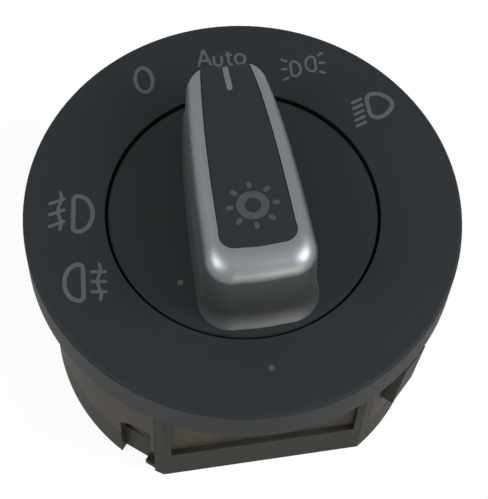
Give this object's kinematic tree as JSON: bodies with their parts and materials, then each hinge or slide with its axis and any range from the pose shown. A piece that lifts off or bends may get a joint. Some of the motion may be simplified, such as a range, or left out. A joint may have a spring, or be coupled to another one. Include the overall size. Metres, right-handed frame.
{
  "type": "headlight switch",
  "caption": "Round rotary headlight switch for a dashboard: matt black bezel with lamp symbols, wedge grip knob with silver trim, barrel with claws and a rear socket.",
  "frame": {"origin": "on the knob's axis in the plane of the bezel's rear edge, which seats on the dashboard panel", "axes": "+Z out of the face along the knob's axis, +Y towards the upright position of the pointer, the barrel's flat at -Y"},
  "size_m": [0.07, 0.07, 0.0588],
  "materials": {
    "bezel_black": "fine matt, moulded and painted",
    "barrel_black": "moulded glass-filled plastic",
    "cover_black": "moulded glass-filled plastic",
    "trim_silver": "satin silver coat",
    "inlay_black": "fine matt",
    "clear_plastic": "clear moulded plastic",
    "dot_amber": "translucent",
    "natural_plastic": "natural white moulding",
    "spring_steel": "drawn wire and strip",
    "contact_metal": "stamped and plated",
    "board_green": "solder mask",
    "parts_black": "moulded packages"
  },
  "bodies": {
    "root": {"bezel": "bezel_black", "symbol_light_guide": "clear_plastic", "bezel_dot_pipe": "dot_amber", "bearing_deck": "cover_black", "detent_spring": "spring_steel", "circuit_board": "board_green", "leds": "natural_plastic", "board_components": "parts_black", "terminal_pins": "contact_metal", "fog_contacts": "contact_metal", "housing": "barrel_black", "rear_cover": "cover_black", "claw_spring_left": "spring_steel", "claw_spring_right": "spring_steel"},
    "rotor_body": {"rotor": "natural_plastic", "contact_disc": "parts_black", "wipers": "contact_metal"},
    "shaft_body": {"knob_shaft": "natural_plastic"},
    "knob_body": {"knob": "bezel_black", "grip_trim": "trim_silver", "grip_inlay": "inlay_black", "knob_light_guide": "clear_plastic", "disc_dot_pipe": "dot_amber", "push_spring": "spring_steel"},
    "slider_body": {"fog_slider": "natural_plastic"},
    "claw_left_body": {"claw_left": "cover_black"},
    "claw_right_body": {"claw_right": "cover_black"}
  },
  "joints": [
    {"name": "knob_turn", "type": "hinge", "parent": "root", "child": "rotor_body", "pos_m": [0, 0, -0.008], "axis": [0, 0, 1], "range_deg": [-54, 27]},
    {"name": "knob_pull", "type": "slide", "parent": "rotor_body", "child": "shaft_body", "axis": [0, 0, 1], "range_m": [0, 0.006]},
    {"name": "knob_push", "type": "slide", "parent": "shaft_body", "child": "knob_body", "axis": [0, 0, 1], "range_m": [-0.0025, 0], "stiffness_N_per_m": 1200, "springref_m": 0.002, "deforming": ["push_spring", "claw_spring_left", "claw_spring_right"]},
    {"name": "slider_move", "type": "slide", "parent": "root", "child": "slider_body", "axis": [0, 0, 1], "range_m": [0, 0.006]},
    {"name": "claw_left_move", "type": "slide", "parent": "root", "child": "claw_left_body", "axis": [-0.7071, 0.7071, 0], "range_m": [-0.0025, 0]},
    {"name": "claw_right_move", "type": "slide", "parent": "root", "child": "claw_right_body", "axis": [0.7071, -0.7071, 0], "range_m": [-0.0025, 0]}
  ],
  "couplings": [
    {"joint": "slider_move", "follows": "knob_pull", "ratio": 1},
    {"joint": "claw_left_move", "follows": "knob_push", "ratio": 1},
    {"joint": "claw_right_move", "follows": "knob_push", "ratio": 1}
  ]
}
